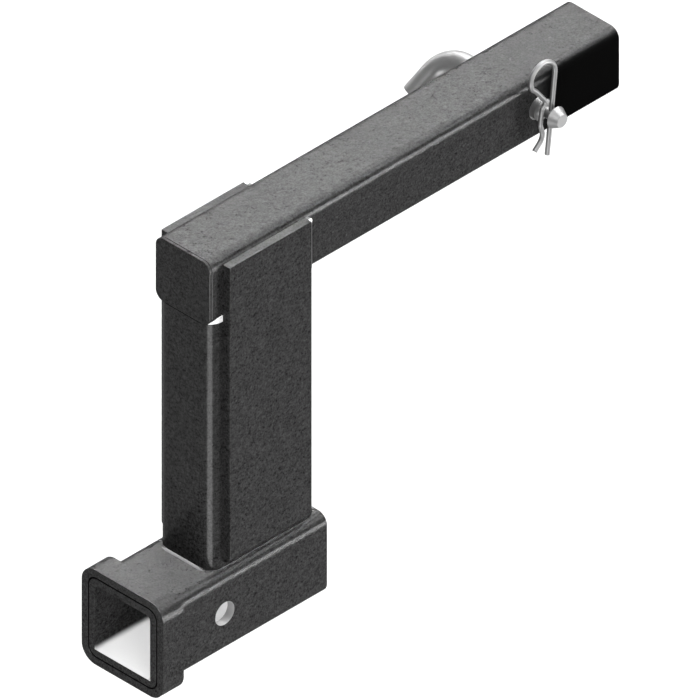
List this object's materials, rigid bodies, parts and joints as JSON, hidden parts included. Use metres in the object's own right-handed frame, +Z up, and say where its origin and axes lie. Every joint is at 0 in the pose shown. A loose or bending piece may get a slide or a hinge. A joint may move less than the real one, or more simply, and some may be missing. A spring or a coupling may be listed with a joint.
{
  "type": "receiver hitch",
  "caption": "Welded steel hitch riser: a long square shank, an upright post with side plates and a lower square receiver, with a bent hitch pin and its spring clip.",
  "frame": {"origin": "centre of the lower receiver's cross pin hole, on the receiver tube's own axis", "axes": "+X along the shank to its free open end, +Y along the pin holes towards the pin's bent handle, +Z up from the receiver to the shank"},
  "size_m": [0.4371, 0.1246, 0.3404],
  "materials": {
    "black_coat": "textured black powder coat",
    "bare_weld": "bare weld metal",
    "bright_pin": "bright zinc plate",
    "bright_wire": "bright zinc plate"
  },
  "bodies": {
    "adapter": {"receiver_tube": "black_coat", "receiver_collar": "black_coat", "post_tube": "black_coat", "shank_tube": "black_coat", "shank_end_cap": "black_coat", "left_side_plate": "black_coat", "right_side_plate": "black_coat", "post_base_weld_front": "bare_weld", "post_base_weld_rear": "bare_weld", "left_plate_edge_weld": "bare_weld", "right_plate_edge_weld": "bare_weld", "left_plate_foot_weld": "black_coat", "right_plate_foot_weld": "black_coat", "post_top_weld_left_front": "bare_weld", "post_top_weld_right_front": "bare_weld", "post_top_weld_left_rear": "bare_weld", "post_top_weld_right_rear": "bare_weld", "post_top_weld_back": "bare_weld"},
    "hitch_pin": {"hitch_pin": "bright_pin"},
    "spring_clip": {"spring_clip": "bright_wire"}
  },
  "joints": [
    {"name": "pin_slide", "type": "slide", "parent": "adapter", "child": "hitch_pin", "axis": [0, 1, 0], "range_m": [-0.0172, 0.0093]},
    {"name": "clip_pull", "type": "slide", "parent": "hitch_pin", "child": "spring_clip", "axis": [0.1132, 0, 0.9936], "range_m": [0, 0.04]}
  ]
}
